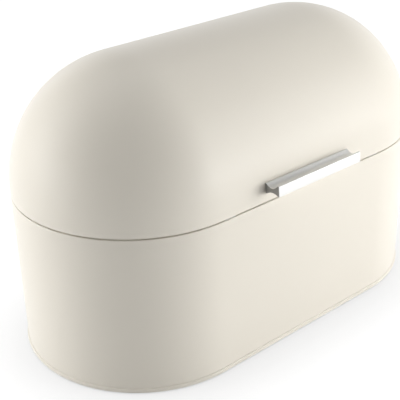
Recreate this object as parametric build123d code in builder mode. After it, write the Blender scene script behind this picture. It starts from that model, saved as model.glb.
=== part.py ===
from build123d import *
from math import cos, degrees, radians, sin, sqrt
import os

# A bread box of painted sheet steel: a base with straight sides and half-round ends, a domed
# lid hinged at the back, and a metal bar handle on the front of the lid.
# Millimetres. +X runs along the front, +Y to the back, +Z up. The origin lies on the counter,
# under the middle of the plan.

# Body
body_length = 375.0
body_depth = 200.0
sheet = 0.8
seam_height = 134.0
seam_gap = 0.6
lid_skirt = 4.5

# Clearances
seat = 0.05
pin_play = 0.05
swing_gap = 0.35
knuckle_gap = 0.3
overrun = 2.0

# Rim of the base and hem of the lid
hem_opening = 0.9
rim_hem_height = 5.0
rim_round = 0.7
lid_hem_height = 4.0
lid_edge_round = 0.4

# Collar inside the rim
collar_above = 6.0
collar_below = 8.0
collar_chamfer = 0.25

# Pads that the closed lid rests on
pad_length = 10.0
pad_width = 1.4
pad_end_inset = 7.5

# Bottom bead, floor and feet
ground_gap = 1.0
bead_height = 4.0
bead_proud = 0.95
bead_round = 0.7
floor_height = 4.2
foot_radius = 8.0
foot_taper = 1.0
foot_stem_radius = 2.5
foot_barb_radius = 3.4
foot_barb_height = 3.0
foot_side_inset = 20.0
foot_end_inset = 7.5

# Vents in the back
vent_rows = 2
vent_columns = 9
vent_radius = 2.2
vent_pitch = 12.0
vent_drop = 46.0

# Hinges
leaf_width = 44.0
leaf_end_inset = 5.0
leaf_thickness = 1.3
leaf_drop = 22.0
leaf_arc = 17.0
leaf_corner = 5.0
knuckle_radius = 2.9
middle_knuckle = 18.0
pin_radius = 1.5
pin_head_radius = 2.4
pin_head_height = 1.0
open_limit = 95.0
stop_tail = 9.6
stop_gap = 0.1

# Rivets
rivet_radius = 1.6
rivet_head_radius = 3.0
rivet_head_height = 1.5
rivet_upset_radius = 2.6
rivet_upset_height = 1.0
rivet_shoulder_shares = (0.86, 0.6)
rivet_crown_share = 0.5
rivet_spacing = 30.0
rivet_drop = 13.5
rivet_arc = 8.5

# Handle, its screws and washers
handle_length = 90.5
handle_reach = 14.3
handle_arc = 7.7
flange_height = 8.2
flange_thickness = 1.2
lip_height = 8.4
lip_thickness = 1.6
lip_lift = 0.55
web_thickness = 3.5
web_lift = -0.3
handle_edge = 0.4
screw_radius = 1.5
screw_grip = 4.0
screw_hole_depth = 4.4
screw_spacing = 60.0
screw_head_radius = 2.8
screw_head_height = 2.0
recess_length = 3.2
recess_width = 0.7
recess_depth = 1.1
washer_radius = 3.5
washer_thickness = 0.6

# Heights and reaches that follow from the sizes above
arch_radius = body_depth / 2
straight_length = body_length - body_depth
hinge_spacing = straight_length - leaf_width - 2 * leaf_end_inset
base_top = seam_height - seam_gap / 2
lid_bottom = seam_height + seam_gap / 2
spring_height = seam_height + lid_skirt
rim_hem = 2 * sheet + hem_opening
wall_bottom = ground_gap + sheet + seat
floor_top = floor_height + sheet
hinge_y = body_depth / 2 + swing_gap + knuckle_radius
hinge_z = seam_height
leaf_inner = body_depth / 2 + seat
leaf_outer = leaf_inner + leaf_thickness
notch = knuckle_radius + swing_gap
bore_radius = pin_radius + pin_play
side_centres = {"left": -hinge_spacing / 2, "right": hinge_spacing / 2}


def plan(inset, mode=Mode.ADD):
    """The body's plan, drawn inset from its outer face, in the sketch that is open."""
    SlotOverall(body_length - 2 * inset, body_depth - 2 * inset, mode=mode)


def sag(radius, half_chord):
    """How far an arc of this radius rises over a chord of twice half_chord."""
    return radius - sqrt(radius**2 - half_chord**2)


def back_plane(x, drop):
    """On the outer face of the back wall, below the hinge axis, facing backwards."""
    origin = (x, body_depth / 2, hinge_z - drop)
    return Plane(origin=origin, x_dir=(1, 0, 0), z_dir=(0, 1, 0))


def dome_plane(x, arc, way):
    """On the dome, an arc length above its spring line, facing out to the back or the front."""
    turn = arc / arch_radius
    out = (0, way * cos(turn), sin(turn))
    origin = (x, arch_radius * out[1], spring_height + arch_radius * out[2])
    return Plane(origin=origin, x_dir=(1, 0, 0), z_dir=out)


def hinge_plane(x, turn=0):
    """Across the hinge axis at x, its first direction backwards and turned down by turn."""
    along = (0, cos(radians(turn)), -sin(radians(turn)))
    return Plane(origin=(x, hinge_y, hinge_z), x_dir=along, z_dir=(1, 0, 0))


BACK = 1
FRONT = -1

# Grip of a part that is flat inside and bears on the hollow of the dome
rivet_slack = seat + sag(arch_radius - sheet, rivet_upset_radius)
washer_slack = seat + sag(arch_radius - sheet, washer_radius)
washer_top = sheet + washer_slack
screw_bearing = washer_top + washer_thickness + seat

base_rivet_planes = {side: back_plane(x, rivet_drop) for side, x in side_centres.items()}
lid_rivet_planes = {side: dome_plane(x, rivet_arc, BACK) for side, x in side_centres.items()}
handle_seat = dome_plane(0, handle_arc, FRONT)

os.makedirs("parts", exist_ok=True)

# Base wall: rolled sheet with a rounded, folded rim
with BuildPart() as base_wall:
    with BuildSketch(Plane.XY.offset(wall_bottom)):
        plan(0)
    extrude(amount=base_top - wall_bottom)
    fillet(base_wall.edges().group_by(Axis.Z)[-1], radius=rim_round)
    with BuildSketch(Plane.XY.offset(wall_bottom)):
        plan(sheet)
    extrude(amount=base_top - rim_hem_height - wall_bottom, mode=Mode.SUBTRACT)
    with BuildSketch(Plane.XY.offset(wall_bottom)):
        plan(rim_hem)
    extrude(amount=base_top - wall_bottom, mode=Mode.SUBTRACT)
    with BuildSketch(back_plane(0, vent_drop)):
        with GridLocations(vent_pitch, vent_pitch, vent_columns, vent_rows):
            Circle(vent_radius)
    extrude(amount=sheet + overrun, both=True, mode=Mode.SUBTRACT)
    for rivet_plane in base_rivet_planes.values():
        with BuildSketch(rivet_plane):
            with GridLocations(rivet_spacing, 0, 2, 1):
                Circle(rivet_radius + seat)
        extrude(amount=sheet + overrun, both=True, mode=Mode.SUBTRACT)
base_wall.part.label = "base_wall"
export_step(base_wall.part, "parts/base_wall.step")

# Base panel: a pan whose edge is folded round the lower edge of the wall
foot_grid = (straight_length - 2 * foot_end_inset, body_depth - 2 * foot_side_inset)
with BuildPart() as base_panel:
    with BuildSketch(Plane.XY.offset(ground_gap)):
        plan(-seat - bead_proud)
    extrude(amount=bead_height)
    bead_edges = base_panel.edges().group_by(Axis.Z)
    fillet(bead_edges[0] + bead_edges[-1], radius=bead_round)
    with BuildSketch(Plane.XY.offset(ground_gap + sheet)):
        plan(-seat)
        plan(sheet + seat, mode=Mode.SUBTRACT)
    extrude(amount=bead_height, mode=Mode.SUBTRACT)
    with BuildSketch(Plane.XY.offset(floor_top)):
        plan(sheet + seat)
    extrude(amount=bead_height, mode=Mode.SUBTRACT)
    with BuildSketch(Plane.XY.offset(floor_height)):
        plan(2 * sheet + seat)
    extrude(amount=-floor_height, mode=Mode.SUBTRACT)
    with BuildSketch(Plane.XY.offset(floor_height)):
        with GridLocations(*foot_grid, 2, 2):
            Circle(foot_stem_radius + seat)
    extrude(amount=sheet + overrun, both=True, mode=Mode.SUBTRACT)
base_panel.part.label = "base_panel"
export_step(base_panel.part, "parts/base_panel.step")

# Collar: a band inside the rim that stands up into the lid
collar_inset = rim_hem + seat
with BuildPart() as rim_collar:
    with BuildSketch(Plane.XY.offset(seam_height - collar_below)):
        plan(collar_inset)
        plan(collar_inset + sheet, mode=Mode.SUBTRACT)
    extrude(amount=collar_below + collar_above)
    chamfer(rim_collar.edges().group_by(Axis.Z)[-1], length=collar_chamfer)
rim_collar.part.label = "rim_collar"
export_step(rim_collar.part, "parts/rim_collar.step")

# Rim pads: four thin pads on the flat of the rim, under the hem of the lid
pad_grid = (straight_length - 2 * pad_end_inset, body_depth - 2 * rim_round - pad_width)
with BuildPart() as rim_pads:
    with BuildSketch(Plane.XY.offset(base_top)):
        with GridLocations(*pad_grid, 2, 2):
            Rectangle(pad_length, pad_width)
    extrude(amount=seam_gap - seat)
rim_pads.part.label = "rim_pads"
export_step(rim_pads.part, "parts/rim_pads.step")

# Feet: a disc under the floor, a stem through it and a barb above it
with BuildPart() as foot_form:
    with BuildSketch(Plane.XZ):
        with BuildLine():
            Polyline(
                (0, 0),
                (foot_radius - foot_taper, 0),
                (foot_radius, foot_taper),
                (foot_radius, floor_height - seat),
                (foot_stem_radius, floor_height - seat),
                (foot_stem_radius, floor_top + seat),
                (foot_barb_radius, floor_top + seat),
                (foot_stem_radius / 2, floor_top + seat + foot_barb_height),
                (0, floor_top + seat + foot_barb_height),
                close=True,
            )
        make_face()
    revolve(axis=Axis.Z)

for depth_name, depth_way in (("front", FRONT), ("back", BACK)):
    for side, side_way in (("left", -1), ("right", 1)):
        foot_name = f"foot_{depth_name}_{side}"
        with BuildPart() as foot:
            with Locations((side_way * foot_grid[0] / 2, depth_way * foot_grid[1] / 2)):
                add(foot_form.part)
        foot.part.label = foot_name
        export_step(foot.part, f"parts/{foot_name}.step")

# Lid shell: half a capsule over a short upright skirt, with a folded hem
hem_top = lid_bottom + lid_hem_height
with BuildPart() as lid_shell:
    with BuildSketch(Plane.XY.offset(lid_bottom)):
        plan(0)
    extrude(amount=spring_height - lid_bottom)
    fillet(lid_shell.edges().group_by(Axis.Z)[0], radius=lid_edge_round)
    for radius, mode in ((arch_radius, Mode.ADD), (arch_radius - sheet, Mode.SUBTRACT)):
        with BuildSketch(Plane.YZ.offset(-straight_length / 2)):
            with BuildLine():
                arch = CenterArc((0, spring_height), radius, 0, 180)
                Line(arch @ 1, arch @ 0)
            make_face()
        extrude(amount=straight_length, mode=mode)
        with Locations(
            (-straight_length / 2, 0, spring_height),
            (straight_length / 2, 0, spring_height),
        ):
            Sphere(radius, arc_size1=0, align=(Align.CENTER, Align.CENTER, Align.MIN), mode=mode)
    with BuildSketch(Plane.XY.offset(spring_height)):
        plan(sheet)
    extrude(amount=hem_top - spring_height, mode=Mode.SUBTRACT)
    with BuildSketch(Plane.XY.offset(lid_bottom)):
        plan(2 * sheet)
    extrude(amount=lid_hem_height, mode=Mode.SUBTRACT)
    for rivet_plane in lid_rivet_planes.values():
        with BuildSketch(rivet_plane):
            with GridLocations(rivet_spacing, 0, 2, 1):
                Circle(rivet_radius + seat)
        extrude(amount=sheet + overrun, both=True, mode=Mode.SUBTRACT)
    with BuildSketch(handle_seat):
        with GridLocations(screw_spacing, 0, 2, 1):
            Circle(screw_radius + seat)
    extrude(amount=sheet + overrun, both=True, mode=Mode.SUBTRACT)
lid_shell.part.label = "lid_shell"
export_step(lid_shell.part, "parts/lid_shell.step")

# Handle bar: an extrusion with a flange on the lid, a hollow web and an upright lip
handle_section = Plane(
    origin=handle_seat.offset(seat).origin + Vector(handle_length / 2, 0, 0),
    x_dir=handle_seat.z_dir,
    z_dir=(-1, 0, 0),
)
lip_back = handle_reach - lip_thickness
lip_top = lip_lift + lip_height / 2
lip_foot = lip_lift - lip_height / 2
web_middle = (flange_thickness + lip_back) / 2
with BuildPart() as handle_bar:
    with BuildSketch(handle_section):
        with BuildLine():
            Polyline(
                (flange_thickness, -flange_height / 2),
                (0, -flange_height / 2),
                (0, flange_height / 2),
                (flange_thickness, flange_height / 2),
            )
            ThreePointArc(
                (flange_thickness, flange_height / 2),
                (web_middle, web_lift + web_thickness / 2),
                (lip_back, lip_top),
            )
            Polyline(
                (lip_back, lip_top),
                (handle_reach, lip_top),
                (handle_reach, lip_foot),
                (lip_back, lip_foot),
            )
            ThreePointArc(
                (lip_back, lip_foot),
                (web_middle, web_lift - web_thickness / 2),
                (flange_thickness, -flange_height / 2),
            )
        make_face()
    extrude(amount=handle_length)
    fillet(handle_bar.edges().filter_by(Axis.X), radius=handle_edge)
    with BuildSketch(handle_seat.offset(seat)):
        with GridLocations(screw_spacing, 0, 2, 1):
            Circle(screw_radius + seat)
    extrude(amount=screw_hole_depth, mode=Mode.SUBTRACT)
handle_bar.part.label = "handle_bar"
export_step(handle_bar.part, "parts/handle_bar.step")

# Handle screws: pan heads inside the lid, shanks through the sheet into the bar
with BuildPart() as screw_form:
    with BuildSketch(Plane.XZ):
        with BuildLine():
            Polyline(
                (0, -screw_bearing - screw_head_height),
                (0, seat + screw_grip),
                (screw_radius, seat + screw_grip),
                (screw_radius, -screw_bearing),
                (screw_head_radius, -screw_bearing),
            )
            TangentArc(
                (0, -screw_bearing - screw_head_height),
                (screw_head_radius, -screw_bearing),
                tangent=(1, 0),
            )
        make_face()
    revolve(axis=Axis.Z)
    with BuildSketch(Plane.XY.offset(-screw_bearing - screw_head_height)):
        Rectangle(recess_length, recess_width)
        Rectangle(recess_width, recess_length)
    extrude(amount=recess_depth, mode=Mode.SUBTRACT)

with BuildPart() as handle_screws:
    with Locations(handle_seat):
        with GridLocations(screw_spacing, 0, 2, 1):
            add(screw_form.part)
handle_screws.part.label = "handle_screws"
export_step(handle_screws.part, "parts/handle_screws.step")

# Handle washers, under the screw heads
with BuildPart() as handle_washers:
    with BuildSketch(handle_seat.offset(-washer_top)):
        with GridLocations(screw_spacing, 0, 2, 1):
            Circle(washer_radius)
            Circle(screw_radius + seat, mode=Mode.SUBTRACT)
    extrude(amount=-washer_thickness)
handle_washers.part.label = "handle_washers"
export_step(handle_washers.part, "parts/handle_washers.step")

# Rivets: a domed head on the leaf, a shank through leaf and sheet, an upset end inside
leaf_face = seat + leaf_thickness + seat
rivet_foot = -sheet - rivet_slack
shoulder_radius = rivet_head_radius * rivet_shoulder_shares[0]
crown_radius = rivet_head_radius * rivet_crown_share
with BuildPart() as rivet_form:
    with BuildSketch(Plane.XZ):
        with BuildLine():
            Polyline(
                (0, rivet_foot - rivet_upset_height),
                (0, leaf_face + rivet_head_height),
                (crown_radius, leaf_face + rivet_head_height),
                (shoulder_radius, leaf_face + rivet_head_height * rivet_shoulder_shares[1]),
                (rivet_head_radius, leaf_face),
                (rivet_radius, leaf_face),
                (rivet_radius, rivet_foot),
                (rivet_upset_radius, rivet_foot),
                (rivet_radius, rivet_foot - rivet_upset_height),
                close=True,
            )
        make_face()
    revolve(axis=Axis.Z)

# Hinges: rolled knuckles on riveted leaves, the base leaf with a tail that stops the lid
for side, centre in side_centres.items():
    leaf_start = centre - leaf_width / 2
    middle_start = centre - middle_knuckle / 2
    outer_knuckle = (leaf_width - middle_knuckle) / 2 - knuckle_gap

    with BuildPart() as base_leaf:
        with BuildSketch(Plane.YZ.offset(leaf_start)):
            with Locations((leaf_inner, hinge_z - leaf_drop)):
                Rectangle(leaf_thickness, leaf_drop - notch, align=Align.MIN)
        extrude(amount=leaf_width)
        fillet(base_leaf.edges().filter_by(Axis.Y).group_by(Axis.Z)[0], radius=leaf_corner)
        with BuildSketch(Plane.YZ.offset(middle_start)):
            with Locations((leaf_inner, hinge_z - notch)):
                Rectangle(leaf_thickness, notch, align=Align.MIN)
            with Locations((hinge_y, hinge_z)):
                Circle(knuckle_radius)
        extrude(amount=middle_knuckle)
        with BuildSketch(hinge_plane(middle_start, turn=open_limit - 90)):
            with Locations((0, hinge_y - leaf_outer - stop_gap)):
                Rectangle(stop_tail, leaf_thickness, align=(Align.MIN, Align.MAX))
        extrude(amount=middle_knuckle)
        with BuildSketch(hinge_plane(middle_start)):
            Circle(bore_radius)
        extrude(amount=middle_knuckle, mode=Mode.SUBTRACT)
        with BuildSketch(base_rivet_planes[side]):
            with GridLocations(rivet_spacing, 0, 2, 1):
                Circle(rivet_radius + seat)
        extrude(amount=leaf_thickness + overrun, mode=Mode.SUBTRACT)
    base_leaf.part.label = f"hinge_base_leaf_{side}"
    export_step(base_leaf.part, f"parts/hinge_base_leaf_{side}.step")

    with BuildPart() as lid_leaf:
        with BuildSketch(Plane.YZ.offset(leaf_start)):
            with BuildLine():
                turn = degrees(leaf_arc / arch_radius)
                inner_arc = CenterArc((0, spring_height), leaf_inner, 0, turn)
                outer_arc = CenterArc((0, spring_height), leaf_outer, 0, turn)
                Line(inner_arc @ 1, outer_arc @ 1)
                Polyline(
                    inner_arc @ 0,
                    (leaf_inner, hinge_z),
                    (leaf_outer, hinge_z),
                    outer_arc @ 0,
                )
            make_face()
        extrude(amount=leaf_width)
        short_edges = lid_leaf.edges().filter_by(lambda e: abs(e.length - leaf_thickness) < seat)
        fillet(short_edges.sort_by(Axis.Z)[-2:], radius=leaf_corner)
        with BuildSketch(Plane.YZ.offset(middle_start - knuckle_gap)):
            with Locations((leaf_inner, hinge_z)):
                Rectangle(2 * leaf_thickness, 2 * notch)
        extrude(amount=middle_knuckle + 2 * knuckle_gap, mode=Mode.SUBTRACT)
        for knuckle_start in (leaf_start, middle_start + middle_knuckle + knuckle_gap):
            with BuildSketch(hinge_plane(knuckle_start)):
                Circle(knuckle_radius)
            extrude(amount=outer_knuckle)
        with BuildSketch(hinge_plane(leaf_start)):
            Circle(bore_radius)
        extrude(amount=leaf_width, mode=Mode.SUBTRACT)
        with BuildSketch(lid_rivet_planes[side]):
            with GridLocations(rivet_spacing, 0, 2, 1):
                Circle(rivet_radius + seat)
        extrude(amount=leaf_thickness + overrun, mode=Mode.SUBTRACT)
    lid_leaf.part.label = f"hinge_lid_leaf_{side}"
    export_step(lid_leaf.part, f"parts/hinge_lid_leaf_{side}.step")

    with BuildPart() as hinge_pin:
        pin_half = leaf_width / 2 + knuckle_gap / 2
        with BuildSketch(Plane.XZ.offset(-hinge_y)):
            with BuildLine():
                left_tip = (centre - pin_half - pin_head_height, hinge_z)
                right_tip = (centre + pin_half + pin_head_height, hinge_z)
                left_edge = (centre - pin_half, hinge_z + pin_head_radius)
                right_edge = (centre + pin_half, hinge_z + pin_head_radius)
                TangentArc(left_tip, left_edge, tangent=(0, 1))
                Polyline(
                    left_edge,
                    (centre - pin_half, hinge_z + pin_radius),
                    (centre + pin_half, hinge_z + pin_radius),
                    right_edge,
                )
                TangentArc(right_tip, right_edge, tangent=(0, 1))
                Line(left_tip, right_tip)
            make_face()
        revolve(axis=Axis((0, hinge_y, hinge_z), (1, 0, 0)))
    hinge_pin.part.label = f"hinge_pin_{side}"
    export_step(hinge_pin.part, f"parts/hinge_pin_{side}.step")

    for body, planes in (("base", base_rivet_planes), ("lid", lid_rivet_planes)):
        with BuildPart() as leaf_rivets:
            with Locations(planes[side]):
                with GridLocations(rivet_spacing, 0, 2, 1):
                    add(rivet_form.part)
        leaf_rivets.part.label = f"{body}_rivets_{side}"
        export_step(leaf_rivets.part, f"parts/{body}_rivets_{side}.step")
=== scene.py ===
# %% [markdown]
# ## A bread box of painted sheet steel
# The box has a base with straight sides and half-round ends, and a lid that is half a capsule,
# hinged at the back. The solids come from a CAD model and are only a frame here: each smooth
# shell is made again with finer faces, in the same place, and gets its finish.

# %% Load the frame and keep its box
from math import asin, cos, degrees, pi, radians, sin, tan

import bmesh
import bpy
from mathutils import Matrix, Vector


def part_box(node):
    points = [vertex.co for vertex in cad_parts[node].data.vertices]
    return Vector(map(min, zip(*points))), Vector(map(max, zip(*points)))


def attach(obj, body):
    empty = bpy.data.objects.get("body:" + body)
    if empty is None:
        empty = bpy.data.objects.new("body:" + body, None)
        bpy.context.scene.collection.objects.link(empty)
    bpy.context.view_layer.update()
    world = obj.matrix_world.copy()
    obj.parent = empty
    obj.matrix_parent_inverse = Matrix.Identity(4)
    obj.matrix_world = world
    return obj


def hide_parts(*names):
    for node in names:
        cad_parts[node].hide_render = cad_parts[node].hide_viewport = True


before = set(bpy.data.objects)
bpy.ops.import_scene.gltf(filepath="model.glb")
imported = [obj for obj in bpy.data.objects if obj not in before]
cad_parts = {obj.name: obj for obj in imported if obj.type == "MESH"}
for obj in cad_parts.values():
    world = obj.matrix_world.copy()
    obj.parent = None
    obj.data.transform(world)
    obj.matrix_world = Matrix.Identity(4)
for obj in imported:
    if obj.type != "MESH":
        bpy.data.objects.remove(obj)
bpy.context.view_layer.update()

mm = 0.001

# %% [markdown]
# ## The camera
# The view is a little from the left and from above, close enough for the ends to shrink with
# distance. The numbers come from fitting the outline of the box. A camera that is only aimed at a
# point would lose the small tilt, so it is placed by a matrix whose columns are its right, its up
# and its back.

# %% Camera
azimuth, elevation, tilt = -0.7046, 0.4705, -0.0275
target = Vector((-0.02415, 0.0, 0.0923))
distance = 0.77722
flat = cos(elevation)
backward = Vector((sin(azimuth) * flat, -cos(azimuth) * flat, sin(elevation)))
level_right = (-backward).cross(Vector((0, 0, 1))).normalized()
level_up = level_right.cross(-backward)
right = level_right * cos(tilt) + level_up * sin(tilt)
up = level_up * cos(tilt) - level_right * sin(tilt)
camera = bpy.data.objects.new("camera", bpy.data.cameras.new("camera"))
camera.data.lens = 82.0
camera.data.sensor_width = 36.0
camera.data.clip_start = 0.01
place = Matrix((right, up, backward)).transposed().to_4x4()
place.translation = target + backward * distance
camera.matrix_world = place
bpy.context.scene.collection.objects.link(camera)
bpy.context.scene.camera = camera
bpy.context.scene.view_settings.view_transform = "Standard"
print("camera at", tuple(round(value, 4) for value in camera.matrix_world.translation))

# %% [markdown]
# ## Shader helpers
# A material is a small graph. These helpers add a node, set its values and join its sockets, so
# that each finish below reads as a list of what feeds what.


# %% Helpers for node graphs
def feed(tree, socket, value):
    """Sets a socket to a value, or links another socket to it."""
    if isinstance(value, bpy.types.NodeSocket):
        tree.links.new(value, socket)
    else:
        socket.default_value = value


def add_node(tree, kind, settings=None, **inputs):
    """A node with its settings and its inputs, each a value or a socket to join."""
    node = tree.nodes.new(kind)
    for key, value in (settings or {}).items():
        setattr(node, key, value)
    for key, value in inputs.items():
        feed(tree, node.inputs[key.replace("_", " ")], value)
    return node


def reckon(tree, operation, *terms, kind="ShaderNodeMath"):
    """One step of arithmetic on values or sockets."""
    node = add_node(tree, kind, {"operation": operation})
    for socket, value in zip(node.inputs, terms):
        feed(tree, socket, value)
    return node.outputs[0]


def new_group(name, inputs, outputs):
    """A shader group with named numbers as inputs and outputs, and its two end nodes."""
    tree = bpy.data.node_groups.new(name, "ShaderNodeTree")
    number = "NodeSocketFloat"
    for label, default in inputs.items():
        socket = tree.interface.new_socket(label, in_out="INPUT", socket_type=number)
        socket.default_value = default
    for label in outputs:
        tree.interface.new_socket(label, in_out="OUTPUT", socket_type=number)
    return tree, tree.nodes.new("NodeGroupInput"), tree.nodes.new("NodeGroupOutput")


print("shader helpers ready")

# %% [markdown]
# ## Surface effects that several finishes share
# Paint, rubber and metal all have a fine skin, and none has quite the same tone all over. Both
# effects are noise on the object's own coordinates, so they stay with the piece when it moves.
# Drawn metal has long thin lines as well, which are the same noise stretched along the piece. An
# image could carry all this, but a group is built once, and every finish uses it with its own
# values.


# %% Group: fine grain
def grain_group():
    """Height of a fine even skin, such as the peel of baked paint."""
    inputs = {"Grains per Metre": 700.0, "Roughness": 0.5}
    tree, start, end = new_group("fine_grain", inputs, ["Height"])
    spot = add_node(tree, "ShaderNodeTexCoord")
    noise = add_node(
        tree, "ShaderNodeTexNoise", Vector=spot.outputs["Object"], Detail=2.0,
        Scale=start.outputs["Grains per Metre"], Roughness=start.outputs["Roughness"],
    )
    feed(tree, end.inputs["Height"], noise.outputs[0])
    return tree


fine_grain = grain_group()
print("group:", fine_grain.name)


# %% Group: tone drift
def drift_group():
    """A factor near 1 that wanders slowly over the surface."""
    inputs = {"Patches per Metre": 9.0, "Amount": 0.03}
    tree, start, end = new_group("tone_drift", inputs, ["Factor"])
    spot = add_node(tree, "ShaderNodeTexCoord")
    noise = add_node(
        tree, "ShaderNodeTexNoise", Vector=spot.outputs["Object"], Detail=3.0,
        Scale=start.outputs["Patches per Metre"],
    )
    offset = reckon(tree, "SUBTRACT", noise.outputs[0], 0.5)
    factor = reckon(tree, "MULTIPLY_ADD", offset, start.outputs["Amount"], 1.0)
    feed(tree, end.inputs["Factor"], factor)
    return tree


tone_drift = drift_group()
print("group:", tone_drift.name)


# %% Group: drawn lines
def lines_group():
    """Height and mask of fine lines that run along X, as on drawn or rolled metal."""
    inputs = {"Lines per Metre": 2600.0, "Stretch": 90.0}
    tree, start, end = new_group("drawn_lines", inputs, ["Height", "Mask"])
    spot = add_node(tree, "ShaderNodeTexCoord")
    parts = add_node(tree, "ShaderNodeSeparateXYZ", Vector=spot.outputs["Object"])
    along = reckon(tree, "DIVIDE", parts.outputs["X"], start.outputs["Stretch"])
    stretched = add_node(
        tree, "ShaderNodeCombineXYZ", X=along, Y=parts.outputs["Y"], Z=parts.outputs["Z"]
    )
    noise = add_node(
        tree, "ShaderNodeTexNoise", Vector=stretched.outputs[0], Detail=3.0, Roughness=0.6,
        Scale=start.outputs["Lines per Metre"],
    )
    feed(tree, end.inputs["Height"], noise.outputs[0])
    mask = add_node(
        tree, "ShaderNodeMapRange", Value=noise.outputs[0], From_Min=0.35, From_Max=0.65
    )
    feed(tree, end.inputs["Mask"], mask.outputs[0])
    return tree


drawn_lines = lines_group()
print("group:", drawn_lines.name)

# %% [markdown]
# ## How a finish starts
# Every finish here multiplies its colour by the slow drift of tone and takes its relief from one
# of the shared groups, so no surface is one flat colour. What is the same all over, such as the
# metal or the strength of the reflection, is set on the shader itself.


# %% Helpers: a finish with drift and relief
def start_finish(name, colour, drift, bump, group, **values):
    """A material whose colour drifts (patches per metre, amount) and whose relief (strength,
    distance) is the height of a shared group with its own values."""
    material = bpy.data.materials.new(name)
    material.use_nodes = True
    tree = material.node_tree
    shader = tree.nodes["Principled BSDF"]
    patches, amount = drift
    wander = add_node(
        tree, "ShaderNodeGroup", {"node_tree": tone_drift}, Patches_per_Metre=patches, Amount=amount
    )
    tint = add_node(
        tree, "ShaderNodeVectorMath", {"operation": "SCALE"}, Scale=wander.outputs["Factor"]
    )
    tint.inputs[0].default_value = colour
    feed(tree, shader.inputs["Base Color"], tint.outputs[0])
    skin = add_node(tree, "ShaderNodeGroup", {"node_tree": group}, **values)
    strength, depth = bump
    relief = add_node(
        tree, "ShaderNodeBump", Strength=strength, Distance=depth, Height=skin.outputs["Height"]
    )
    feed(tree, shader.inputs["Normal"], relief.outputs[0])
    return material, tree, shader, wander.outputs["Factor"], skin


def vary_roughness(tree, shader, factor, middle):
    """Roughness that follows a factor near 1."""
    feed(tree, shader.inputs["Roughness"], reckon(tree, "MULTIPLY", factor, middle))


print("finish helpers ready")

# %% [markdown]
# ## Baked paint
# The body is steel with a baked powder coat in warm off-white: satin, very smooth, with a faint
# peel. A plain colour would do from afar. The drift and the peel keep the wide highlights from
# looking like plastic, and the reflection is a little weaker than the shader's usual level.

# %% Finish: baked paint
body_paint, tree, shader, factor, _ = start_finish(
    "body_paint", (0.80, 0.757, 0.672), drift=(7.0, 0.03), bump=(0.06, 0.2 * mm),
    group=fine_grain, Grains_per_Metre=620.0,
)
vary_roughness(tree, shader, factor, middle=0.32)
shader.inputs["IOR"].default_value = 1.5
shader.inputs["Specular IOR Level"].default_value = 0.3
print("finish:", body_paint.name)

# %% [markdown]
# ## Drawn aluminium
# The handle is a length of drawn bar. The die leaves fine lines along it, so the lines give both
# the relief and the roughness. The two sawn ends are coloured a darker grey. They could have a
# material of their own, but a rule on the distance along the bar keeps the handle in one finish.

# %% Finish: drawn aluminium
handle_metal, tree, shader, _, lines = start_finish(
    "handle_metal", (0.88, 0.88, 0.865), drift=(40.0, 0.06), bump=(0.1, 0.04 * mm),
    group=drawn_lines,
)
smoothest, streak_depth = 0.85, 0.3
streaks = reckon(tree, "MULTIPLY_ADD", lines.outputs["Mask"], streak_depth, smoothest)
vary_roughness(tree, shader, streaks, middle=0.55)
shader.inputs["Metallic"].default_value = 1.0
print("finish:", handle_metal.name)

# %% Sawn ends of the handle
handle_length, end_margin = 90.5 * mm, 0.05 * mm
# The two end faces are coloured a darker grey than the bar.
end_grey = (0.33, 0.33, 0.32, 1.0)
spot = add_node(tree, "ShaderNodeTexCoord").outputs["Object"]
along = add_node(tree, "ShaderNodeSeparateXYZ", Vector=spot).outputs["X"]
from_middle = reckon(tree, "ABSOLUTE", along)
sawn = reckon(tree, "GREATER_THAN", from_middle, handle_length / 2 - end_margin)
tint = shader.inputs["Base Color"].links[0].from_socket
ends = add_node(tree, "ShaderNodeMix", {"data_type": "RGBA"})
ports = {port.identifier: port for port in (*ends.inputs, *ends.outputs)}
feed(tree, ports["Factor_Float"], sawn)
feed(tree, ports["A_Color"], tint)
feed(tree, ports["B_Color"], end_grey)
feed(tree, shader.inputs["Base Color"], ports["Result_Color"])
print("sawn ends past", round(handle_length / 2 - end_margin, 5))

# %% [markdown]
# ## Plated steel
# Hinges, pins, rivets, screws and washers are steel with a thin bright plating. The strip that the
# leaves are cut from keeps faint rolling lines under the plating. They show as streaks in the gloss
# more than as relief, so the lines feed the roughness alone.

# %% Finish: plated steel
hinge_steel, tree, shader, _, _ = start_finish(
    "hinge_steel", (0.50, 0.49, 0.475), drift=(120.0, 0.16), bump=(0.12, 0.05 * mm),
    group=fine_grain, Grains_per_Metre=1800.0,
)
lines = add_node(
    tree, "ShaderNodeGroup", {"node_tree": drawn_lines}, Lines_per_Metre=3200.0, Stretch=30.0
)
smoothest, streak_depth = 0.8, 0.35
streaks = reckon(tree, "MULTIPLY_ADD", lines.outputs["Mask"], streak_depth, smoothest)
vary_roughness(tree, shader, streaks, middle=0.3)
shader.inputs["Metallic"].default_value = 1.0
print("finish:", hinge_steel.name)

# %% [markdown]
# ## Rubber and silicone
# The feet are black rubber and the pads on the rim are clear silicone. Both are moulded, so they
# have a grain and no lines. The pads are thin, and a share of transmission is enough to make them
# look clear without the cost of full glass.

# %% Finishes: rubber and silicone
foot_rubber, tree, shader, factor, _ = start_finish(
    "foot_rubber", (0.035, 0.035, 0.036), drift=(60.0, 0.3), bump=(0.35, 0.1 * mm),
    group=fine_grain, Grains_per_Metre=1500.0,
)
vary_roughness(tree, shader, factor, middle=0.7)
pad_silicone, tree, shader, factor, _ = start_finish(
    "pad_silicone", (0.72, 0.72, 0.70), drift=(90.0, 0.1), bump=(0.2, 0.08 * mm),
    group=fine_grain, Grains_per_Metre=1200.0,
)
vary_roughness(tree, shader, factor, middle=0.45)
shader.inputs["Transmission Weight"].default_value = 0.35
print("finishes:", foot_rubber.name, pad_silicone.name)

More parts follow.
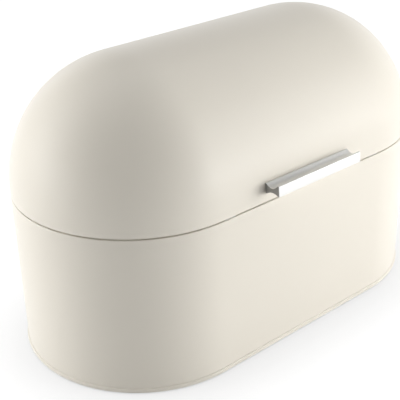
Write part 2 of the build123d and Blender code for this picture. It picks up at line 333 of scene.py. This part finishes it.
# %% [markdown]
# ## A tree that rolls a section round the plan
# Every sheet piece of the body has one section that runs round the same plan: two half circles
# joined by straight sides. A sweep along a curve would turn the section a little at the joints,
# so the tree lays out a grid and gives each point its place by the rule itself: a column is an
# angle on one of the two half circles, and a row is a point of the section. With no straight
# side the same tree is a lathe, which serves for rivets, screws, pins and feet.


# %% Helpers for geometry trees
def new_tree(name, inputs):
    """A geometry tree with named inputs, and its two end nodes."""
    tree = bpy.data.node_groups.new(name, "GeometryNodeTree")
    tree.is_modifier = True
    for way in ("OUTPUT", "INPUT"):
        tree.interface.new_socket("Geometry", in_out=way, socket_type="NodeSocketGeometry")
    for label, kind in inputs.items():
        tree.interface.new_socket(label, in_out="INPUT", socket_type="NodeSocket" + kind)
    return tree, tree.nodes.new("NodeGroupInput"), tree.nodes.new("NodeGroupOutput")


def whole(tree, operation, first, second):
    """One step of whole-number arithmetic on values or sockets."""
    return reckon(tree, operation, first, second, kind="FunctionNodeIntegerMath")


def end_tree(tree, start, end, geometry):
    """Makes copies real and gives the finish, as the last steps of a tree."""
    real = add_node(tree, "GeometryNodeRealizeInstances", Geometry=geometry)
    done = add_node(
        tree, "GeometryNodeSetMaterial", Geometry=real.outputs[0],
        Material=start.outputs["Material"],
    )
    feed(tree, end.inputs["Geometry"], done.outputs[0])


touching = 0.001 * mm
print("points closer than", touching, "are one")


# %% Tree: rolled section
def rolled_tree():
    """Rolls a section, drawn in XZ with X as the reach from the spine, round the plan."""
    inputs = {"Section": "Object", "Straight": "Float", "Half Steps": "Int", "Material": "Material"}
    tree, start, end = new_tree("rolled_section", inputs)
    source = add_node(tree, "GeometryNodeObjectInfo", Object=start.outputs["Section"])
    section = source.outputs["Geometry"]
    size = add_node(tree, "GeometryNodeAttributeDomainSize", Geometry=section)
    rows = size.outputs["Point Count"]
    steps = start.outputs["Half Steps"]
    per_half = whole(tree, "ADD", steps, 1)
    columns = whole(tree, "ADD", whole(tree, "MULTIPLY", per_half, 2), 1)
    grid = add_node(tree, "GeometryNodeMeshGrid", Vertices_X=columns, Vertices_Y=rows)
    index = add_node(tree, "GeometryNodeInputIndex").outputs[0]
    column = whole(tree, "DIVIDE_FLOOR", index, rows)
    half = whole(tree, "MODULO", whole(tree, "DIVIDE_FLOOR", column, per_half), 2)
    step = whole(tree, "MODULO", column, per_half)
    sampled = add_node(
        tree, "GeometryNodeSampleIndex", {"data_type": "FLOAT_VECTOR"}, Geometry=section,
        Value=add_node(tree, "GeometryNodeInputPosition").outputs[0],
        Index=whole(tree, "MODULO", index, rows),
    )
    point = add_node(tree, "ShaderNodeSeparateXYZ", Vector=sampled.outputs[0])
    turn = reckon(tree, "ADD", reckon(tree, "DIVIDE", step, steps), half)
    angle = reckon(tree, "MULTIPLY_ADD", turn, pi, -pi / 2)
    side = reckon(tree, "MULTIPLY_ADD", half, -1.0, 0.5)
    reach = point.outputs["X"]
    spine = reckon(tree, "MULTIPLY", start.outputs["Straight"], side)
    spot = add_node(
        tree, "ShaderNodeCombineXYZ", Z=point.outputs["Z"],
        X=reckon(tree, "MULTIPLY_ADD", reach, reckon(tree, "COSINE", angle), spine),
        Y=reckon(tree, "MULTIPLY", reach, reckon(tree, "SINE", angle)),
    )
    placed = add_node(
        tree, "GeometryNodeSetPosition", Geometry=grid.outputs["Mesh"], Position=spot.outputs[0]
    )
    closed = add_node(
        tree, "GeometryNodeMergeByDistance", Geometry=placed.outputs[0], Distance=touching
    )
    end_tree(tree, start, end, closed.outputs[0])
    return tree


rolled_section = rolled_tree()
print("tree:", rolled_section.name, len(rolled_section.nodes), "nodes")


# %% Helpers: run a tree on an object, and keep its plain mesh
def new_object(name, mesh=None):
    """A linked object with that mesh, or an empty one."""
    obj = bpy.data.objects.new(name, mesh or bpy.data.meshes.new(name))
    bpy.context.scene.collection.objects.link(obj)
    return obj


def run_tree(obj, tree, **values):
    """Puts a tree on an object and sets its inputs by identifier."""
    modifier = obj.modifiers.new(tree.name, "NODES")
    modifier.node_group = tree
    named = {label.replace("_", " "): value for label, value in values.items()}
    for item in tree.interface.items_tree:
        if item.in_out == "INPUT" and item.name in named:
            modifier[item.identifier] = named[item.name]


def settle(obj, crease=32.0):
    """Turns what the modifiers make into the object's own plain mesh: no empty slot before its
    finish, faces outwards, and smooth but for creases past an angle in degrees."""
    graph = bpy.context.evaluated_depsgraph_get()
    mesh = bpy.data.meshes.new_from_object(obj.evaluated_get(graph), depsgraph=graph)
    mesh.name = obj.name
    while mesh.materials[0] is None:
        mesh.materials.pop(index=0)
    obj.modifiers.clear()
    obj.data = mesh
    shape = bmesh.new()
    shape.from_mesh(mesh)
    if shape.calc_volume(signed=True) < 0:
        bmesh.ops.reverse_faces(shape, faces=shape.faces)
    shape.to_mesh(mesh)
    volume = shape.calc_volume(signed=True)
    shape.free()
    mesh.shade_smooth()
    mesh.set_sharp_from_angle(angle=radians(crease))
    print(obj.name, len(mesh.polygons), "faces,", round(volume / mm**3), "cubic mm")
    return obj


print("tree", rolled_section.name, "can now be run and settled")

# %% Helpers: draw and roll a section
guides = []


def draw_section(name, points):
    """A row of points in XZ for the rolling tree to read, kept on the list of guides."""
    mesh = bpy.data.meshes.new(name)
    mesh.from_pydata([(reach, 0.0, height) for reach, height in points], [], [])
    guides.append(new_object(name, mesh))
    return guides[-1]


def bend(centre, radius, first, last, steps):
    """Points on an arc of a section, by angle in degrees."""
    angles = [radians(first + (last - first) * step / steps) for step in range(steps + 1)]
    return [(centre[0] + radius * cos(a), centre[1] + radius * sin(a)) for a in angles]


def roll(name, points, material, straight, steps):
    """One piece rolled from its section."""
    section = draw_section(name + "_section", points)
    obj = new_object(name)
    run_tree(
        obj, rolled_section, Section=section, Straight=straight, Half_Steps=steps,
        Material=material,
    )
    return obj


def turn_up(name, points, material, steps):
    """One round form, rolled with no straight side as on a lathe."""
    return roll(name, points, material, 0.0, steps)


print("section helpers ready, guides so far:", len(guides))

# %% [markdown]
# ## The sheet steel body
# The base wall is rolled sheet with a rounded, folded rim. A bottom pan closes it below, a collar
# stands inside the rim and a domed lid shuts over it. All four are sections of the real sheet,
# rolled round the plan, so they share one half depth, one straight side and one thickness.

# %% Sizes of the body, read from the frame
wall_low, wall_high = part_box("base_wall")
shell_low, shell_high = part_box("lid_shell")
half_depth = (wall_high.y - wall_low.y) / 2
straight = 175.0 * mm
sheet = 0.8 * mm
round_steps = 96
print("half depth", round(half_depth, 5), "wall", round(wall_low.z, 5), "to", round(wall_high.z, 5))

# %% Base wall
rim_width, rim_depth, rim_round, rim_steps = 2.5 * mm, 5.0 * mm, 0.8 * mm, 6
seam_ease = 0.22 * mm
rim_top = wall_high.z - seam_ease
rim_centre = (half_depth - rim_round, rim_top - rim_round)
wall_section = [(half_depth, wall_low.z)]
wall_section += bend(rim_centre, rim_round, 0, 90, rim_steps)
wall_section += [
    (half_depth - rim_width, rim_top),
    (half_depth - rim_width, rim_top - rim_depth),
    (half_depth - sheet, rim_top - rim_depth),
    (half_depth - sheet, wall_low.z),
    (half_depth, wall_low.z),
]
wall_shell = roll("wall_shell", wall_section, body_paint, straight, round_steps)
print("wall section:", len(wall_section), "points")

# %% [markdown]
# ## Vents in the back
# Two rows of punched holes let the bread breathe. Punching is the same cut at every point of a
# grid, so a tree sets plugs on the grid and takes them all out of the wall in one boolean.


# %% Tree: vent field
def vent_tree():
    """Takes a grid of round plugs out of an upright wall."""
    inputs = {"Columns": "Int", "Rows": "Int", "Pitch": "Float", "Radius": "Float"}
    inputs |= {"Depth": "Float", "Centre": "Vector", "Material": "Material"}
    tree, start, end = new_tree("vent_field", inputs)
    width, tall = (
        reckon(
            tree, "MULTIPLY", whole(tree, "SUBTRACT", start.outputs[label], 1),
            start.outputs["Pitch"],
        )
        for label in ("Columns", "Rows")
    )
    grid = add_node(
        tree, "GeometryNodeMeshGrid", Size_X=width, Size_Y=tall,
        Vertices_X=start.outputs["Columns"], Vertices_Y=start.outputs["Rows"],
    )
    plug = add_node(
        tree, "GeometryNodeMeshCylinder", Vertices=32, Radius=start.outputs["Radius"],
        Depth=start.outputs["Depth"],
    )
    plugs = add_node(
        tree, "GeometryNodeInstanceOnPoints", Points=grid.outputs["Mesh"],
        Instance=plug.outputs["Mesh"],
    )
    upright = add_node(
        tree, "GeometryNodeTransform", Geometry=plugs.outputs[0], Rotation=(pi / 2, 0, 0),
        Translation=start.outputs["Centre"],
    )
    real = add_node(tree, "GeometryNodeRealizeInstances", Geometry=upright.outputs[0])
    cut = add_node(
        tree, "GeometryNodeMeshBoolean", {"operation": "DIFFERENCE", "solver": "EXACT"},
        Mesh_1=start.outputs["Geometry"], Mesh_2=real.outputs[0],
    )
    end_tree(tree, start, end, cut.outputs["Mesh"])
    return tree


vent_field = vent_tree()
print("tree:", vent_field.name, len(vent_field.nodes), "nodes")

# %% Vents
hinge_height, vent_drop = 134.0 * mm, 46.0 * mm
run_tree(
    wall_shell, vent_field, Columns=9, Rows=2, Pitch=12.0 * mm, Radius=2.2 * mm, Depth=8.0 * mm,
    Centre=(0.0, half_depth, hinge_height - vent_drop), Material=body_paint,
)
settle(wall_shell)

# %% [markdown]
# ## Pan, collar and lid
# The pan is pressed, and its edge is folded over the foot of the wall into a small round bead. The
# collar is a plain band that guides the lid. The lid is drawn as half a capsule, and its edge is
# folded inwards to a hem. A thickness modifier on a thin skin could make such shells, but a drawn
# section keeps every fold and rounded edge in its place. The rim and the lid's foot are both eased
# by a hair, so that the shut seam reads as a fine dark line. The sections of the pan and the lid
# end on the spine, where the tree's points fall together and close the shell.

# %% Bottom pan
pan_low, pan_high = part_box("base_panel")
pan_reach = (pan_high.y - pan_low.y) / 2
fold, bead_steps = 0.05 * mm, 14
floor_under = 4.2 * mm
pan_inside = half_depth - 2 * sheet - fold
wall_inside, wall_outside = half_depth - sheet - fold, half_depth + fold
bead_half = (pan_high.z - pan_low.z) / 2
bead_bulge = pan_reach - half_depth - fold
pan_section = [(0.0, floor_under), (pan_inside, floor_under), (pan_inside, pan_low.z)]
for out, rise in bend((0.0, 0.0), 1.0, -90, 90, bead_steps):
    pan_section.append((wall_outside + bead_bulge * out, pan_low.z + bead_half * (1 + rise)))
pan_section += [
    (wall_outside, pan_low.z + sheet),
    (wall_inside, pan_low.z + sheet),
    (wall_inside, pan_high.z),
    (0.0, pan_high.z),
]
bottom_pan = settle(roll("bottom_pan", pan_section, body_paint, straight, round_steps))

# %% Collar inside the rim
collar_low, collar_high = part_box("rim_collar")
collar_out = (collar_high.y - collar_low.y) / 2
collar_in = collar_out - sheet
lip_round, edge_steps = 0.3 * mm, 4
lip_height = collar_high.z - lip_round
collar_section = [(collar_out, collar_low.z)]
collar_section += bend((collar_out - lip_round, lip_height), lip_round, 0, 90, edge_steps)
collar_section += bend((collar_in + lip_round, lip_height), lip_round, 90, 180, edge_steps)
collar_section += [(collar_in, collar_low.z), (collar_out, collar_low.z)]
collar_band = settle(roll("collar_band", collar_section, body_paint, straight, round_steps))

# %% Lid
spring_height = shell_high.z - half_depth
edge_round, hem_width, hem_rise = 0.5 * mm, 2 * sheet, 4.0 * mm
lid_foot = shell_low.z + seam_ease
hem_top = lid_foot + hem_rise
arch_steps = 48
foot_centre = (half_depth - edge_round, lid_foot + edge_round)
lid_section = bend((0.0, spring_height), half_depth, 90, 0, arch_steps)
lid_section += bend(foot_centre, edge_round, 0, -90, edge_steps)
lid_section += [
    (half_depth - hem_width, lid_foot),
    (half_depth - hem_width, hem_top),
    (half_depth - sheet, hem_top),
]
lid_section += bend((0.0, spring_height), half_depth - sheet, 0, 90, arch_steps)
lid_dome = settle(roll("lid_dome", lid_section, body_paint, straight, round_steps))

# %% [markdown]
# ## The handle
# The handle is one length of drawn aluminium: a flange on the lid, a web hollowed from above and
# below, and an upright lip to pull. One straight bar needs no tree: its section is a row of points
# in the plane that stands on the dome, and the bar is that section pushed along X, as the die
# does it. A bevel then breaks the sharp edges, as tumbling does.


# %% Handle section
reach, flange, lip = 14.3 * mm, 1.2 * mm, 1.6 * mm
flange_half = 4.1 * mm
lip_top, lip_foot = 4.75 * mm, -3.65 * mm
web_top, web_foot = 1.45 * mm, -2.05 * mm
hollow_steps = 14


def hollow(first, middle, last, steps):
    """Points on the arc through three points of the handle's section."""
    points = []
    for step in range(steps + 1):
        share = step / steps
        near = (1 - share) * (1 - 2 * share)
        between = 4 * share * (1 - share)
        far = share * (2 * share - 1)
        points.append(
            tuple(near * a + between * b + far * c for a, b, c in zip(first, middle, last))
        )
    return points


web_middle, lip_back = (flange + reach - lip) / 2, reach - lip
bar_section = [(0.0, -flange_half), (0.0, flange_half)]
bar_section += hollow(
    (flange, flange_half), (web_middle, web_top), (lip_back, lip_top), hollow_steps
)
bar_section += [(reach, lip_top), (reach, lip_foot)]
bar_section += hollow(
    (lip_back, lip_foot), (web_middle, web_foot), (flange, -flange_half), hollow_steps
)
print("handle section:", len(bar_section), "points")


# %% Handle bar
def break_edges(obj, width, segments, angle):
    """A bevel on the edges that turn by more than an angle in degrees."""
    bevel = obj.modifiers.new("broken_edges", "BEVEL")
    bevel.width, bevel.segments = width, segments
    bevel.limit_method, bevel.angle_limit = "ANGLE", radians(angle)


handle_arc = 7.7 * mm
handle_turn = handle_arc / half_depth
handle_out = Vector((0.0, -cos(handle_turn), sin(handle_turn)))
handle_rise = Vector((0.0, sin(handle_turn), cos(handle_turn)))
handle_seat = Vector((0.0, 0.0, spring_height)) + handle_out * half_depth
shape = bmesh.new()
ends = []
for x in (-handle_length / 2, handle_length / 2):
    spots = [handle_seat + handle_out * (fold + u) + handle_rise * v for u, v in bar_section]
    ends.append([shape.verts.new(spot + Vector((x, 0, 0))) for spot in spots])
left_end, right_end = ends
shape.faces.new(left_end)
shape.faces.new(reversed(right_end))
for near in range(len(bar_section)):
    far = (near + 1) % len(bar_section)
    shape.faces.new((left_end[far], left_end[near], right_end[near], right_end[far]))
bmesh.ops.recalc_face_normals(shape, faces=shape.faces)
grip_bar = new_object("grip_bar")
shape.to_mesh(grip_bar.data)
shape.free()
grip_bar.data.materials.append(handle_metal)
break_edges(grip_bar, width=0.3 * mm, segments=3, angle=28)
settle(grip_bar)

# %% [markdown]
# ## Small pieces that repeat
# Rivets, screws, washers, pins and feet are turned or stamped, so each is a section on the lathe
# tree. A second tree sets one piece out along a line of groups and rows, and turns the whole set
# onto its plane. One object for each body is left when the copies are real.


# %% Tree: set out
def set_out_tree():
    """Copies a piece along X in pairs and groups, and along Y in rows, then puts the set on its
    plane."""
    inputs = {"Piece": "Object", "Pair Count": "Int", "Pair Pitch": "Float"}
    inputs |= {"Group Count": "Int", "Group Pitch": "Float"}
    inputs |= {"Row Count": "Int", "Row Pitch": "Float"}
    inputs |= {"Turn": "Rotation", "Origin": "Vector", "Material": "Material"}
    tree, start, end = new_tree("set_out", inputs)
    source = add_node(tree, "GeometryNodeObjectInfo", Object=start.outputs["Piece"])
    geometry = source.outputs["Geometry"]
    for label, axis in (("Pair", "X"), ("Group", "X"), ("Row", "Y")):
        count, pitch = start.outputs[label + " Count"], start.outputs[label + " Pitch"]
        first = reckon(tree, "MULTIPLY", reckon(tree, "MULTIPLY_ADD", count, -0.5, 0.5), pitch)
        begin = add_node(tree, "ShaderNodeCombineXYZ", **{axis: first})
        stride = add_node(tree, "ShaderNodeCombineXYZ", **{axis: pitch})
        line = add_node(
            tree, "GeometryNodeMeshLine", Count=count, Start_Location=begin.outputs[0],
            Offset=stride.outputs[0],
        )
        copies = add_node(
            tree, "GeometryNodeInstanceOnPoints", Points=line.outputs[0], Instance=geometry
        )
        geometry = copies.outputs[0]
    turned = add_node(
        tree, "GeometryNodeTransform", Geometry=geometry, Rotation=start.outputs["Turn"],
        Translation=start.outputs["Origin"],
    )
    end_tree(tree, start, end, turned.outputs[0])
    return tree


set_out = set_out_tree()
print("tree:", set_out.name, len(set_out.nodes), "nodes")


# %% Helper: lay a form out
def lay_out(name, form, material, lean, origin, pair, group=(1, 0.0), row=(1, 0.0)):
    """One object with the copies of a form: lean turns the set about X, and pair, group and row
    are each a count and a pitch."""
    obj = new_object(name)
    run_tree(
        obj, set_out, Piece=form, Pair_Count=pair[0], Pair_Pitch=pair[1], Group_Count=group[0],
        Group_Pitch=group[1], Row_Count=row[0], Row_Pitch=row[1], Turn=(lean, 0.0, 0.0),
        Origin=origin, Material=material,
    )
    return settle(obj)


print("tree", set_out.name, "can now be laid out")

# %% [markdown]
# ## Rivets
# Two rivets hold each hinge leaf. A rivet has a low domed head on the leaf and a smaller upset end
# inside, so its section is drawn along Z with the sheet at height zero, and each set is then
# turned to face out of its wall.

# %% Rivet
leaf_face, rivet_shank = 1.4 * mm, 1.6 * mm
head_reach, head_rise, head_steps = 3.0 * mm, 1.5 * mm, 8
upset_reach, upset_rise, upset_face = 2.6 * mm, 1.0 * mm, -0.89 * mm
dome_radius = (head_reach**2 + head_rise**2) / (2 * head_rise)
dome_centre = (0.0, leaf_face + head_rise - dome_radius)
dome_angle = 90.0 - degrees(asin(head_reach / dome_radius))
rivet_section = bend(dome_centre, dome_radius, 90, dome_angle, head_steps)
rivet_section += [(rivet_shank, leaf_face), (rivet_shank, upset_face)]
upset = [(1.0, 0.0), (0.85, 0.6), (0.5, 1.0), (0.0, 1.0)]
rivet_section += [(upset_reach * out, upset_face - upset_rise * fall) for out, fall in upset]
rivet_form = settle(turn_up("rivet_form", rivet_section, hinge_steel, steps=16))

# %% Rivets of the wall and of the lid
hinge_spacing, rivet_spacing = 121.0 * mm, 30.0 * mm
wall_rivet_drop, lid_rivet_arc = 13.5 * mm, 8.5 * mm
lid_turn = lid_rivet_arc / half_depth
wall_spot = (0.0, half_depth, hinge_height - wall_rivet_drop)
lid_spot = (0.0, half_depth * cos(lid_turn), spring_height + half_depth * sin(lid_turn))
wall_rivets, lid_rivets = (
    lay_out(
        name, rivet_form, hinge_steel, lean - pi / 2, spot, pair=(2, rivet_spacing),
        group=(2, hinge_spacing),
    )
    for name, lean, spot in (
        ("wall_rivets", 0.0, wall_spot),
        ("lid_rivets", lid_turn, lid_spot),
    )
)

# %% [markdown]
# ## Handle screws and washers
# The handle is held from inside the lid by two pan-head screws on flat washers. The cross recess
# is cut from the turned head by a small tree of its own, since the lathe can only make round
# forms.


# %% Tree: cross recess
def recess_tree():
    """Takes two crossed bars out of the end of a screw."""
    inputs = {"Length": "Float", "Width": "Float", "Height": "Float", "Depth": "Float"}
    tree, start, end = new_tree("cross_recess", inputs | {"Material": "Material"})
    length, width = start.outputs["Length"], start.outputs["Width"]
    depth = reckon(tree, "MULTIPLY", start.outputs["Depth"], 2.0)
    middle = add_node(tree, "ShaderNodeCombineXYZ", Z=start.outputs["Height"])
    cut = add_node(
        tree, "GeometryNodeMeshBoolean", {"operation": "DIFFERENCE", "solver": "EXACT"},
        Mesh_1=start.outputs["Geometry"],
    )
    for x, y in ((length, width), (width, length)):
        size = add_node(tree, "ShaderNodeCombineXYZ", X=x, Y=y, Z=depth)
        bar = add_node(tree, "GeometryNodeMeshCube", Size=size.outputs[0])
        moved = add_node(
            tree, "GeometryNodeTransform", Geometry=bar.outputs["Mesh"],
            Translation=middle.outputs[0],
        )
        feed(tree, cut.inputs["Mesh 2"], moved.outputs[0])
    end_tree(tree, start, end, cut.outputs["Mesh"])
    return tree


cross_recess = recess_tree()
print("tree:", cross_recess.name, len(cross_recess.nodes), "nodes")

# %% Screw
bearing, screw_tip, shank = 1.56 * mm, 4.05 * mm, 1.5 * mm
screw_reach, screw_rise, screw_steps = 2.8 * mm, 2.0 * mm, 10
screw_end = -bearing - screw_rise
screw_section = [(0.0, screw_tip), (shank, screw_tip), (shank, -bearing), (screw_reach, -bearing)]
for step in range(1, screw_steps):
    turn = pi / 2 * step / screw_steps
    screw_section.append((screw_reach * cos(turn), -bearing - screw_rise * sin(turn)))
screw_section.append((0.0, screw_end))
screw_form = turn_up("screw_form", screw_section, hinge_steel, steps=16)
run_tree(
    screw_form, cross_recess, Length=3.2 * mm, Width=0.7 * mm, Height=screw_end, Depth=1.1 * mm,
    Material=hinge_steel,
)
settle(screw_form)

# %% Washer
washer_bore, washer_reach, washer_edge = 1.55 * mm, 3.5 * mm, 0.1 * mm
washer_top, washer_foot = -0.91 * mm, -1.51 * mm
washer_section = [
    (washer_bore, washer_top),
    (washer_bore, washer_foot),
    (washer_reach - washer_edge, washer_foot),
    (washer_reach, washer_foot + washer_edge),
    (washer_reach, washer_top - washer_edge),
    (washer_reach - washer_edge, washer_top),
    (washer_bore, washer_top),
]
washer_form = settle(turn_up("washer_form", washer_section, hinge_steel, steps=20))

# %% Screws and washers of the handle
screw_spacing = 60.0 * mm
grip_screws, grip_washers = (
    lay_out(
        name, form, hinge_steel, pi / 2 - handle_turn, tuple(handle_seat),
        pair=(2, screw_spacing),
    )
    for name, form in (("grip_screws", screw_form), ("grip_washers", washer_form))
)

# %% [markdown]
# ## Feet
# Four rubber feet are pushed through holes in the pan: a disc below, a stem, and a barb inside that
# holds it. They sit on a grid, so one foot from the lathe is set out in two rows.

# %% Feet
foot_reach, foot_edge, foot_ease, stem = 8.0 * mm, 1.0 * mm, 0.3 * mm, 2.5 * mm
foot_top, floor_face = 4.15 * mm, 5.05 * mm
foot_section = [
    (0.0, 0.0),
    (foot_reach - foot_edge, 0.0),
    (foot_reach - foot_ease, foot_ease),
    (foot_reach, foot_edge),
    (foot_reach, foot_top),
    (stem, foot_top),
    (stem, floor_face),
]
barb = [(3.4, 0.0), (3.3, 0.4), (1.4, 2.8), (1.1, 3.0), (0.0, 3.0)]
foot_section += [(out * mm, floor_face + rise * mm) for out, rise in barb]
foot_form = settle(turn_up("foot_form", foot_section, foot_rubber, steps=24))
foot_spacing = 160.0 * mm
rubber_feet = lay_out(
    "rubber_feet", foot_form, foot_rubber, 0.0, (0.0, 0.0, 0.0), pair=(2, foot_spacing),
    row=(2, foot_spacing),
)

# %% [markdown]
# ## Hinge pins and leaves
# Each pin is turned, with a low head at both ends, and lies along X. The leaves are stamped and
# rolled round the pin. Their CAD shape is right, so a copy of it has its loose triangles merged
# and its flat faces joined, and a small bevel breaks the edges that catch the light. The thin pads
# on the rim are made in the same way.

# %% Hinge pins
pin_half, pin_reach, pin_head, pin_stand = 22.15 * mm, 1.5 * mm, 2.4 * mm, 3.25 * mm
cap = [(0.0, 1.0), (0.6, 0.85), (0.92, 0.45), (1.0, 0.0)]
pin_section = [(pin_head * share, -pin_half - rise * mm) for share, rise in cap]
pin_section += [(pin_reach, -pin_half)]
pin_section += [(out, -along) for out, along in reversed(pin_section)]
pin_form = settle(turn_up("pin_form", pin_section, hinge_steel, steps=16))
pin_form.data.transform(Matrix.Rotation(pi / 2, 4, "Y"))
hinge_pins = lay_out(
    "hinge_pins", pin_form, hinge_steel, 0.0, (0.0, half_depth + pin_stand, hinge_height),
    pair=(2, hinge_spacing),
)


# %% Leaves and rim pads
def soften(name, nodes, material, width):
    """Merged copies of CAD nodes in one object, with their edges broken."""
    shape = bmesh.new()
    for node in nodes:
        shape.from_mesh(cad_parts[node].data)
    bmesh.ops.remove_doubles(shape, verts=shape.verts, dist=touching)
    bmesh.ops.dissolve_limit(
        shape, angle_limit=radians(0.5), verts=shape.verts, edges=shape.edges
    )
    obj = new_object(name)
    shape.to_mesh(obj.data)
    shape.free()
    obj.data.materials.clear()
    obj.data.materials.append(material)
    break_edges(obj, width, segments=2, angle=40)
    return settle(obj)


def both(node):
    """The names of a pair of nodes, one on each side."""
    return [f"{node}_{side}" for side in ("left", "right")]


leaf_bevel, pad_bevel = 0.15 * mm, 0.12 * mm
wall_leaves = soften("wall_leaves", both("hinge_base_leaf"), hinge_steel, leaf_bevel)
lid_leaves = soften("lid_leaves", both("hinge_lid_leaf"), hinge_steel, leaf_bevel)
clear_pads = soften("clear_pads", ["rim_pads"], pad_silicone, pad_bevel)

# %% [markdown]
# ## Which body each piece rides on
# The base stands still and the lid turns about the pins. Each new piece stands for the CAD nodes
# that it replaces, which are hidden, and rides on their body. The list also names the slot of its
# finish, which is not used here.

# %% Bodies, slots and replaced nodes
pieces = [
    (wall_shell, "base", "body_paint", ["base_wall"]),
    (bottom_pan, "base", "body_paint", ["base_panel"]),
    (collar_band, "base", "body_paint", ["rim_collar"]),
    (clear_pads, "base", "pad_silicone", ["rim_pads"]),
    (rubber_feet, "base", "foot_rubber", both("foot_front") + both("foot_back")),
    (wall_leaves, "base", "hinge_steel", both("hinge_base_leaf")),
    (hinge_pins, "base", "hinge_steel", both("hinge_pin")),
    (wall_rivets, "base", "hinge_steel", both("base_rivets")),
    (lid_dome, "lid", "body_paint", ["lid_shell"]),
    (grip_bar, "lid", "handle_metal", ["handle_bar"]),
    (grip_screws, "lid", "hinge_steel", ["handle_screws"]),
    (grip_washers, "lid", "hinge_steel", ["handle_washers"]),
    (lid_leaves, "lid", "hinge_steel", both("hinge_lid_leaf")),
    (lid_rivets, "lid", "hinge_steel", both("lid_rivets")),
]
for obj, body, finish, nodes in pieces:
    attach(obj, body)
    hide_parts(*nodes)
for obj in guides + [rivet_form, screw_form, washer_form, foot_form, pin_form]:
    bpy.data.objects.remove(obj)
print("pieces:", len(pieces))

# %% [markdown]
# ## Floor and world
# The box stands in a white studio. More light would whiten the background but bleach the paint too,
# so rays from the camera, a mirror or glass see the floor and the world as white by their own glow.
# For the rays that carry light, the floor is pale and sends some of it back up. The soft shadow at
# the foot is partly the real shadow and partly a painted shadow: ambient occlusion tells how much
# of the sky each spot of the floor sees, and the glow is weaker where the box hides it. The world
# throws no light on the paint, only its reflection, which darkens towards the ceiling.


# %% Floor
def seen_rays(tree):
    """1 for rays from the camera, a mirror or glass, and 0 for the rays that carry light."""
    path = add_node(tree, "ShaderNodeLightPath").outputs
    seen = reckon(tree, "MAXIMUM", path["Is Camera Ray"], path["Is Glossy Ray"])
    return reckon(tree, "MAXIMUM", seen, path["Is Transmission Ray"])


floor_half = 6.0
floor = new_object("floor")
shape = bmesh.new()
bmesh.ops.create_grid(shape, x_segments=2, y_segments=2, size=floor_half)
shape.to_mesh(floor.data)
shape.free()
floor_white = bpy.data.materials.new("floor_white")
floor_white.use_nodes = True
tree = floor_white.node_tree
shader = tree.nodes["Principled BSDF"]
shader.inputs["Roughness"].default_value = 0.9
shader.inputs["Emission Color"].default_value = (1.0, 1.0, 1.0, 1.0)
seen = seen_rays(tree)
pale, seen_pale = 0.74, 0.16
tone = reckon(tree, "MULTIPLY_ADD", seen, seen_pale - pale, pale)
feed(tree, shader.inputs["Base Color"], tone)
# The occlusion dims the floor's glow near the box: a painted shadow.
open_sky = add_node(tree, "ShaderNodeAmbientOcclusion", Distance=70.0 * mm).outputs["AO"]
shade_depth, glow = 0.45, 0.94
shade = reckon(tree, "MULTIPLY_ADD", open_sky, shade_depth, 1.0 - shade_depth)
strength = reckon(tree, "MULTIPLY", reckon(tree, "MULTIPLY", seen, glow), shade)
feed(tree, shader.inputs["Emission Strength"], strength)
floor.data.materials.append(floor_white)
print("floor:", tuple(floor.dimensions))

# %% World
world = bpy.data.worlds.new("studio")
world.use_nodes = True
bpy.context.scene.world = world
tree = world.node_tree
sky = add_node(tree, "ShaderNodeTexCoord").outputs["Generated"]
height = add_node(tree, "ShaderNodeSeparateXYZ", Vector=sky).outputs["Z"]
ceiling = 0.3
shade = add_node(
    tree, "ShaderNodeMapRange", {"interpolation_type": "SMOOTHSTEP"}, Value=height,
    From_Min=0.2, From_Max=0.75, To_Min=1.0, To_Max=ceiling,
)
background = tree.nodes["Background"]
background.inputs["Color"].default_value = (1.0, 1.0, 1.0, 1.0)
strength = reckon(tree, "MULTIPLY", shade.outputs[0], seen_rays(tree))
feed(tree, background.inputs["Strength"], strength)
print("world:", world.name)

# %% [markdown]
# ## Soft boxes
# Large soft lamps light the paint. Their places and powers were found by comparing the brightness
# of the paint with a photograph of the box, and by looking from the sides as well, so that no side
# goes white. A lamp that lies low mirrors in the lid at a glancing angle and would wipe out its
# pale outline from behind, so only two of the lamps show in gloss.


# %% Lamps
def soft_box(name, bearing, height, width, tall, distance, power, gloss):
    """A soft box that faces the box. Its place and the field that it fills are angles in degrees,
    and without gloss it gives light but isn't mirrored."""
    aim = Vector((0.0, 0.0, 0.1))
    turn, rise = radians(bearing), radians(height)
    outward = Vector((cos(turn) * cos(rise), sin(turn) * cos(rise), sin(rise)))
    lamp = bpy.data.lights.new(name, "AREA")
    lamp.shape, lamp.energy = "RECTANGLE", power
    lamp.size = 2 * distance * tan(radians(width / 2))
    lamp.size_y = 2 * distance * tan(radians(tall / 2))
    obj = bpy.data.objects.new(name, lamp)
    obj.visible_glossy = gloss
    obj.location = aim + outward * distance
    obj.rotation_mode = "QUATERNION"
    obj.rotation_quaternion = (-outward).to_track_quat("-Z", "Y")
    bpy.context.scene.collection.objects.link(obj)


# Each row: name, bearing, height, width, tall, distance, power, gloss
lamps = [
    ("front_box", 310, 18, 36, 44, 1.8, 11.4, True),
    ("front_top", 330, 60, 50, 40, 1.8, 4.4, False),
    ("front_low", 288, 4, 30, 24, 1.2, 4.5, False),
    ("front_strip", 308, 6, 44, 12, 1.2, 4.6, False),
    ("left_box", 138, 25, 36, 44, 1.8, 7.7, True),
    ("left_low", 155, 5, 40, 30, 1.2, 10.2, False),
    ("back_high", 60, 60, 60, 40, 1.8, 6.0, False),
    ("back_top", 90, 70, 50, 30, 1.8, 8.9, False),
]
for row in lamps:
    soft_box(*row)
print("lamps:", [lamp.name for lamp in bpy.data.lights])
